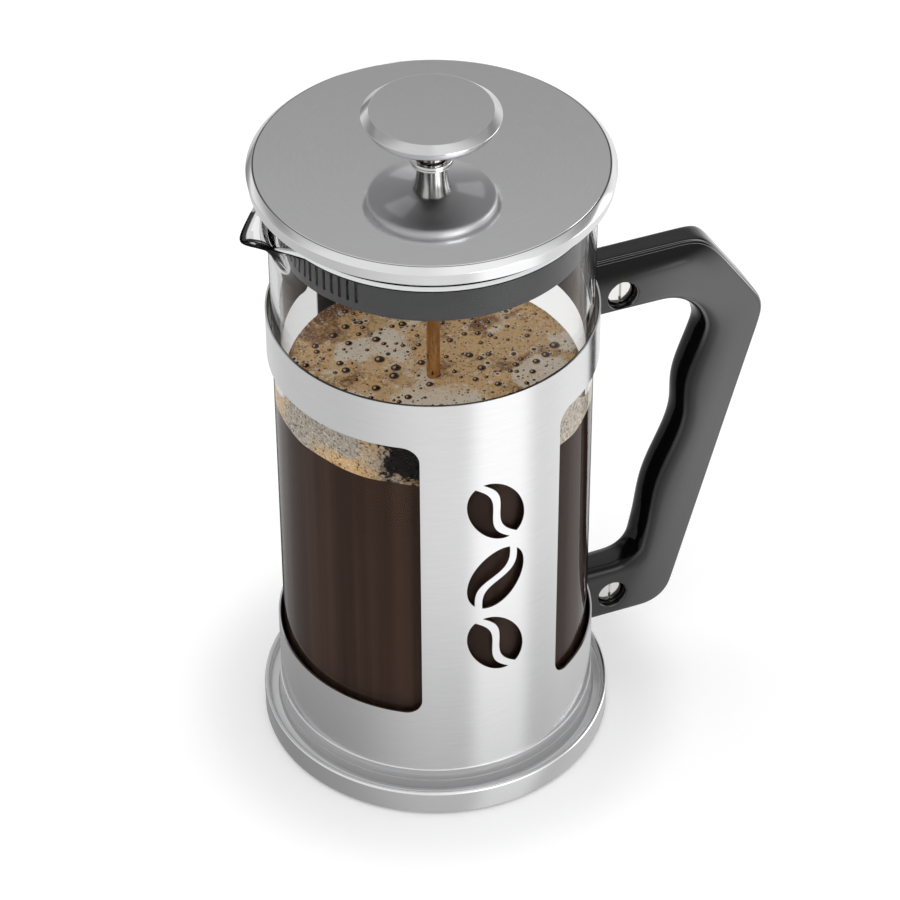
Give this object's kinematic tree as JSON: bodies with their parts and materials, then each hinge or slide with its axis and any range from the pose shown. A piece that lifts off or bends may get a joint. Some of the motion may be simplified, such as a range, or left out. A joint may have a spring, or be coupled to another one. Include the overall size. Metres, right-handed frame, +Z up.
{
  "type": "french press",
  "caption": "Cylindrical glass coffee press in a windowed steel frame with a side handle, a flat steel lid and a knobbed plunger that pushes a filter down through the beaker.",
  "frame": {"origin": "on the beaker's axis, on the underside of the base pad, which is the table's surface", "axes": "+Z up along the plunger, +X towards the handle, -X towards the spout, -Y out of the front panel"},
  "size_m": [0.1673, 0.1114, 0.23],
  "materials": {
    "rubber": "matt anti-slip rubber",
    "silicone": "soft translucent silicone",
    "base_steel": "satin, turned finish",
    "frame_steel": "polished stainless steel",
    "lid_steel": "polished stainless steel",
    "rod_steel": "polished stainless steel",
    "filter_steel": "bright stainless steel",
    "lug_steel": "bare stainless steel",
    "screw_steel": "polished steel",
    "handle_plastic": "glossy black moulding",
    "collar_plastic": "satin dark grey moulding",
    "beaker_glass": "clear borosilicate glass",
    "insert_brass": "turned brass"
  },
  "bodies": {
    "stand": {"base_pad": "rubber", "base_ring": "base_steel", "base_rivets": "lug_steel", "glass_seat": "silicone", "frame_sleeve": "frame_steel", "upper_lug": "lug_steel", "lower_lug": "lug_steel", "handle": "handle_plastic", "handle_screws": "screw_steel", "handle_barrel_nuts": "screw_steel"},
    "beaker": {"glass_beaker": "beaker_glass"},
    "guide": {"guide_bush": "lid_steel", "bush_washer": "lug_steel", "bush_nut": "lug_steel"},
    "lid": {"lid_cover": "lid_steel", "lid_collar": "collar_plastic"},
    "plunger": {"plunger_rod": "rod_steel", "knob_neck": "lid_steel", "knob_base": "lid_steel", "knob_insert": "insert_brass", "knob_cap": "lid_steel", "filter_hub": "filter_steel", "spiral_plate": "filter_steel", "edge_spring": "filter_steel", "mesh_filter": "filter_steel", "cross_plate": "filter_steel", "hub_nut": "filter_steel"}
  },
  "joints": [
    {"name": "beaker_lift", "type": "slide", "parent": "stand", "child": "beaker", "axis": [0, 0, 1], "range_m": [0, 0.16]},
    {"name": "lid_lift", "type": "slide", "parent": "beaker", "child": "guide", "axis": [0, 0, 1], "range_m": [0, 0.2]},
    {"name": "lid_turn", "type": "hinge", "parent": "guide", "child": "lid", "pos_m": [0, 0, 0.2126], "axis": [0, 0, 1], "continuous": true},
    {"name": "plunger_press", "type": "slide", "parent": "guide", "child": "plunger", "axis": [0, 0, 1], "range_m": [0, 0.162]}
  ]
}
